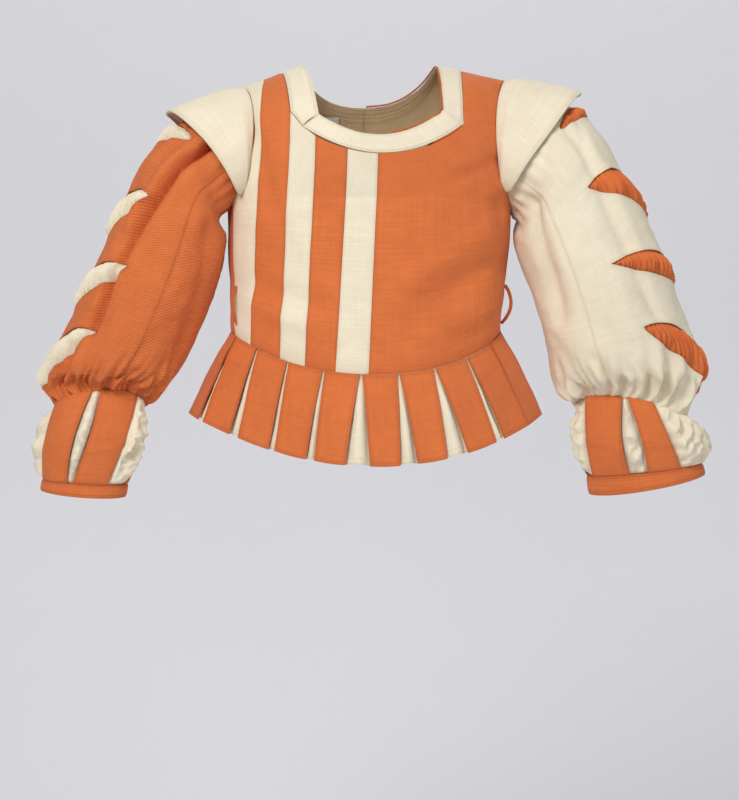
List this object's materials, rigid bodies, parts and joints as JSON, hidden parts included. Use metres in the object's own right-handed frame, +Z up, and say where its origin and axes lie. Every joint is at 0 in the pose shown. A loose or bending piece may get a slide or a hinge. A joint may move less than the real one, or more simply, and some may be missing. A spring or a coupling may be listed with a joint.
{
  "type": "doublet",
  "caption": "Worn short doublet with a square neck, striped and plain bodice, crescent wings, slashed sleeves with puffs, strapped cuffs and a skirt of hanging tabs.",
  "frame": {"origin": "inside the base of the neck, midway between the two shoulder seams, where the wearer carries the doublet", "axes": "+X to the wearer's left, -Y to the front, +Z up; the body is upright and the arms hang a little out from it"},
  "size_m": [0.6666, 0.2336, 0.4278],
  "materials": {
    "rust_cotton": "matt ribbed plain weave, rust orange",
    "cream_cotton": "matt plain weave, unbleached cream",
    "tan_lining": "matt lining, quilted with a few lines of stitching",
    "white_tape": "satin woven tape, blank"
  },
  "bodies": {
    "root": {"front_left": "rust_cotton", "stripe_cream_inner": "cream_cotton", "stripe_rust_inner": "rust_cotton", "stripe_cream_outer": "cream_cotton", "stripe_rust_outer": "rust_cotton", "side_front_right": "cream_cotton", "back_left": "rust_cotton", "back_right": "rust_cotton", "neckband_front": "cream_cotton", "neckband_left": "cream_cotton", "neckband_right": "cream_cotton", "neck_edge_piping": "rust_cotton", "back_lining_left": "tan_lining", "back_lining_right": "tan_lining", "neck_label": "white_tape", "wing_left": "cream_cotton", "wing_right": "cream_cotton", "sleeve_upper_left": "cream_cotton", "sleeve_under_left": "cream_cotton", "slash_puffs_left": "rust_cotton", "sleeve_upper_right": "rust_cotton", "sleeve_under_right": "rust_cotton", "slash_puffs_right": "cream_cotton", "cuff_puff_left": "cream_cotton", "cuff_band_left": "rust_cotton", "cuff_puff_right": "cream_cotton", "cuff_band_right": "rust_cotton", "cuff_strap_left_1": "rust_cotton", "cuff_strap_left_2": "rust_cotton", "cuff_strap_left_3": "rust_cotton", "cuff_strap_left_4": "rust_cotton", "cuff_strap_left_5": "rust_cotton", "cuff_strap_right_1": "rust_cotton", "cuff_strap_right_2": "rust_cotton", "cuff_strap_right_3": "rust_cotton", "cuff_strap_right_4": "rust_cotton", "cuff_strap_right_5": "rust_cotton", "underskirt": "cream_cotton", "tab_01": "rust_cotton", "tab_02": "rust_cotton", "tab_03": "rust_cotton", "tab_04": "rust_cotton", "tab_05": "rust_cotton", "tab_06": "rust_cotton", "tab_07": "rust_cotton", "tab_08": "rust_cotton", "tab_09": "rust_cotton", "tab_10": "rust_cotton", "tab_11": "rust_cotton", "tab_12": "rust_cotton", "tab_13": "rust_cotton", "tab_14": "rust_cotton", "tab_15": "rust_cotton", "tab_16": "rust_cotton", "tab_17": "rust_cotton", "tab_18": "rust_cotton", "tab_19": "rust_cotton", "tab_20": "rust_cotton", "belt_loop_left": "rust_cotton", "belt_loop_right": "rust_cotton"}
  },
  "joints": []
}
